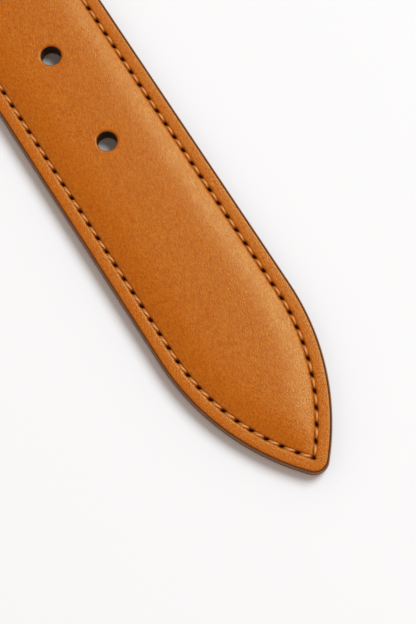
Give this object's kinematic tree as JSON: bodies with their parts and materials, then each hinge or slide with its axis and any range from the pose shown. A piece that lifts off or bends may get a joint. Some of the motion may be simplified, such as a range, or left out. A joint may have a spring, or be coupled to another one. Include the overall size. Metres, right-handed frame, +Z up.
{
  "type": "gentleman's leather dress belt",
  "caption": "Cognac leather dress belt with a padded, stitched strap, a pointed tip and a prong buckle, part wound up with its free end flat.",
  "frame": {"origin": "on the underside of the strap, on the axis of the middle adjusting hole", "axes": "+X along the free end towards the tip, +Y across the strap, +Z up out of its face"},
  "size_m": [0.3645, 0.046, 0.076],
  "materials": {
    "face_leather": "smooth semi-gloss calf, cognac",
    "padding": "matt felt filler",
    "stiffener": "matt bonded leather board",
    "lining_leather": "matt vegetable-tanned lining",
    "edge_paint": "satin dark-brown edge paint",
    "thread": "waxed thread, light tan",
    "buckle_metal": "polished",
    "fastener_steel": "plain"
  },
  "bodies": {
    "strap": {"strap_face": "face_leather", "strap_padding": "padding", "strap_core": "stiffener", "strap_lining": "lining_leather", "edge_paint": "edge_paint", "face_thread": "thread", "lining_thread": "thread", "turnback_edge_paint": "edge_paint", "screw_posts": "fastener_steel", "clamp_screws": "fastener_steel"},
    "buckle": {"buckle_frame": "buckle_metal", "buckle_bar": "buckle_metal"},
    "prong": {"buckle_prong": "buckle_metal"},
    "keeper": {"keeper_face": "face_leather", "keeper_lining": "lining_leather", "keeper_thread": "thread", "keeper_staple": "fastener_steel"}
  },
  "joints": [
    {"name": "buckle_hinge", "type": "hinge", "parent": "strap", "child": "buckle", "pos_m": [-0.156, 0, 0.014], "axis": [0, 1, 0], "range_deg": [0, 60]},
    {"name": "prong_hinge", "type": "hinge", "parent": "buckle", "child": "prong", "pos_m": [-0.156, 0, 0.014], "axis": [0, 1, 0], "range_deg": [0, 60]},
    {"name": "keeper_slide", "type": "slide", "parent": "strap", "child": "keeper", "axis": [1, 0, 0], "range_m": [-0.005, 0.005]}
  ]
}
